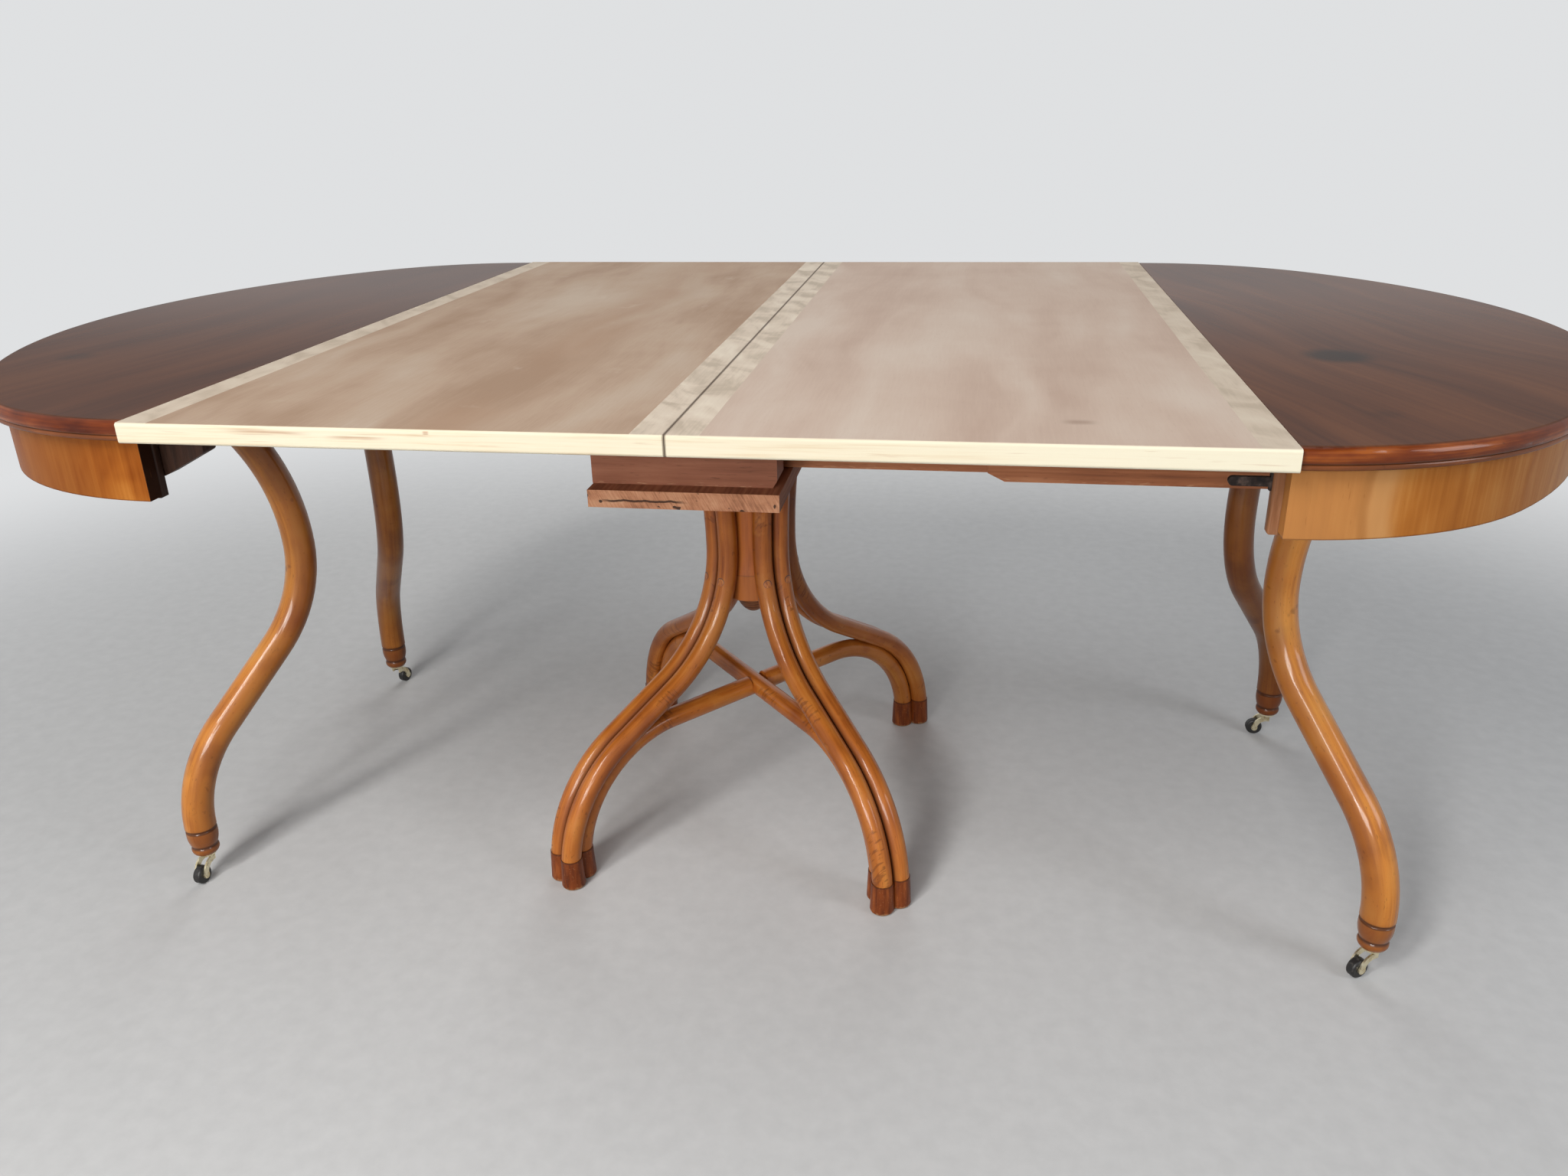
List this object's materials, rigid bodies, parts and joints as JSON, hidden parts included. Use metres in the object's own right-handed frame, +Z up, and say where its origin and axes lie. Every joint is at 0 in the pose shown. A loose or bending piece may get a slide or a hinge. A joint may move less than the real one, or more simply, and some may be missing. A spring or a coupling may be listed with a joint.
{
  "type": "extending dining table",
  "caption": "Extending dining table: half-oval ends on bentwood legs with casters slide apart on wooden rails from a bentwood pedestal, with loose leaves between them.",
  "frame": {"origin": "on the floor under the middle of the joint between the two leaves, which is the centre of the footprint", "axes": "+X along the extension towards the right end, +Y from the front to the back, +Z up"},
  "size_m": [1.942, 1.162, 0.745],
  "materials": {
    "column_wood": "satin, stained and polished",
    "rod_wood": "glossy, stained and polished",
    "shoe_wood": "worn gloss",
    "plug_wood": "glossy",
    "plank_wood": "rough sawn",
    "cheek_wood": "matt",
    "rail_wood": "matt",
    "end_leg_wood": "glossy, stained and polished",
    "top_wood": "polished",
    "rim_wood": "polished",
    "apron_veneer": "polished",
    "batten_wood": "matt",
    "leaf_panel_wood": "raw, sanded",
    "leaf_band_wood": "raw, sanded",
    "catch_iron": "blackened",
    "caster_brass": "tarnished",
    "wheel_black": "hard, worn"
  },
  "bodies": {
    "pedestal": {"pedestal_column": "column_wood", "leg_rod_back_left_a": "rod_wood", "leg_rod_back_left_b": "rod_wood", "leg_rod_back_right_a": "rod_wood", "leg_rod_back_right_b": "rod_wood", "leg_rod_front_left_a": "rod_wood", "leg_rod_front_left_b": "rod_wood", "leg_rod_front_right_a": "rod_wood", "leg_rod_front_right_b": "rod_wood", "stretcher_arch_lower": "rod_wood", "stretcher_arch_upper": "rod_wood", "leg_shoe_back_left": "shoe_wood", "leg_shoe_back_right": "shoe_wood", "leg_shoe_front_left": "shoe_wood", "leg_shoe_front_right": "shoe_wood", "rod_plugs": "plug_wood", "bearer_plank": "plank_wood", "bearer_cheek_front": "cheek_wood", "bearer_cheek_back": "cheek_wood", "fixed_rail_front": "rail_wood", "fixed_rail_back": "rail_wood"},
    "right_end": {"right_end_rail_front": "rail_wood", "right_end_rail_back": "rail_wood", "right_end_top": "top_wood", "right_end_edge": "rim_wood", "right_end_apron": "apron_veneer", "right_end_batten_front": "batten_wood", "right_end_batten_back": "batten_wood", "right_leg_front": "end_leg_wood", "right_leg_back": "end_leg_wood", "right_catch": "catch_iron"},
    "right_runner_front": {"right_runner_rail_front": "rail_wood"},
    "right_runner_back": {"right_runner_rail_back": "rail_wood"},
    "right_leaf": {"right_leaf_panel": "leaf_panel_wood", "right_leaf_band_inner": "leaf_band_wood", "right_leaf_band_outer": "leaf_band_wood"},
    "left_end": {"left_end_rail_front": "rail_wood", "left_end_rail_back": "rail_wood", "left_end_top": "top_wood", "left_end_edge": "rim_wood", "left_end_apron": "apron_veneer", "left_end_batten_front": "batten_wood", "left_end_batten_back": "batten_wood", "left_leg_front": "end_leg_wood", "left_leg_back": "end_leg_wood", "left_catch": "batten_wood"},
    "left_runner_front": {"left_runner_rail_front": "rail_wood"},
    "left_runner_back": {"left_runner_rail_back": "rail_wood"},
    "left_leaf": {"left_leaf_panel": "leaf_panel_wood", "left_leaf_band_inner": "leaf_band_wood", "left_leaf_band_outer": "leaf_band_wood"},
    "caster_left_back": {"caster_fork_left_back": "caster_brass"},
    "wheel_left_back": {"caster_wheel_left_back": "wheel_black"},
    "caster_left_front": {"caster_fork_left_front": "caster_brass"},
    "wheel_left_front": {"caster_wheel_left_front": "wheel_black"},
    "caster_right_back": {"caster_fork_right_back": "caster_brass"},
    "wheel_right_back": {"caster_wheel_right_back": "wheel_black"},
    "caster_right_front": {"caster_fork_right_front": "caster_brass"},
    "wheel_right_front": {"caster_wheel_right_front": "wheel_black"}
  },
  "joints": [
    {"name": "right_end_slide", "type": "slide", "parent": "pedestal", "child": "right_end", "axis": [1, 0, 0], "range_m": [0, 0.15]},
    {"name": "right_runner_front_slide", "type": "slide", "parent": "pedestal", "child": "right_runner_front", "axis": [1, 0, 0], "range_m": [0, 0.075]},
    {"name": "right_runner_back_slide", "type": "slide", "parent": "pedestal", "child": "right_runner_back", "axis": [1, 0, 0], "range_m": [0, 0.075]},
    {"name": "right_leaf_lift", "type": "slide", "parent": "pedestal", "child": "right_leaf", "axis": [0, 0, 1], "range_m": [0, 0.25]},
    {"name": "left_end_slide", "type": "slide", "parent": "pedestal", "child": "left_end", "axis": [-1, 0, 0], "range_m": [0, 0.15]},
    {"name": "left_runner_front_slide", "type": "slide", "parent": "pedestal", "child": "left_runner_front", "axis": [-1, 0, 0], "range_m": [0, 0.075]},
    {"name": "left_runner_back_slide", "type": "slide", "parent": "pedestal", "child": "left_runner_back", "axis": [-1, 0, 0], "range_m": [0, 0.075]},
    {"name": "left_leaf_lift", "type": "slide", "parent": "pedestal", "child": "left_leaf", "axis": [0, 0, 1], "range_m": [0, 0.25]},
    {"name": "caster_left_back_swivel", "type": "hinge", "parent": "left_end", "child": "caster_left_back", "pos_m": [-0.78395, 0.30101, 0.04], "axis": [0, 0, 1], "continuous": true},
    {"name": "wheel_left_back_spin", "type": "hinge", "parent": "caster_left_back", "child": "wheel_left_back", "pos_m": [-0.77929, 0.3184, 0.013], "axis": [-0.9659, 0.2588, 0], "continuous": true},
    {"name": "caster_left_front_swivel", "type": "hinge", "parent": "left_end", "child": "caster_left_front", "pos_m": [-0.78395, -0.30101, 0.04], "axis": [0, 0, 1], "continuous": true},
    {"name": "wheel_left_front_spin", "type": "hinge", "parent": "caster_left_front", "child": "wheel_left_front", "pos_m": [-0.78552, -0.31894, 0.013], "axis": [0.9962, -0.0872, 0], "continuous": true},
    {"name": "caster_right_back_swivel", "type": "hinge", "parent": "right_end", "child": "caster_right_back", "pos_m": [0.78395, 0.30101, 0.04], "axis": [0, 0, 1], "continuous": true},
    {"name": "wheel_right_back_spin", "type": "hinge", "parent": "caster_right_back", "child": "wheel_right_back", "pos_m": [0.76595, 0.30101, 0.013], "axis": [0, -1, 0], "continuous": true},
    {"name": "caster_right_front_swivel", "type": "hinge", "parent": "right_end", "child": "caster_right_front", "pos_m": [0.78395, -0.30101, 0.04], "axis": [0, 0, 1], "continuous": true},
    {"name": "wheel_right_front_spin", "type": "hinge", "parent": "caster_right_front", "child": "wheel_right_front", "pos_m": [0.76836, -0.31001, 0.013], "axis": [0.5, -0.866, 0], "continuous": true}
  ],
  "couplings": [
    {"joint": "right_runner_front_slide", "follows": "right_end_slide", "ratio": 0.5},
    {"joint": "right_runner_back_slide", "follows": "right_end_slide", "ratio": 0.5},
    {"joint": "left_runner_front_slide", "follows": "left_end_slide", "ratio": 0.5},
    {"joint": "left_runner_back_slide", "follows": "left_end_slide", "ratio": 0.5}
  ]
}
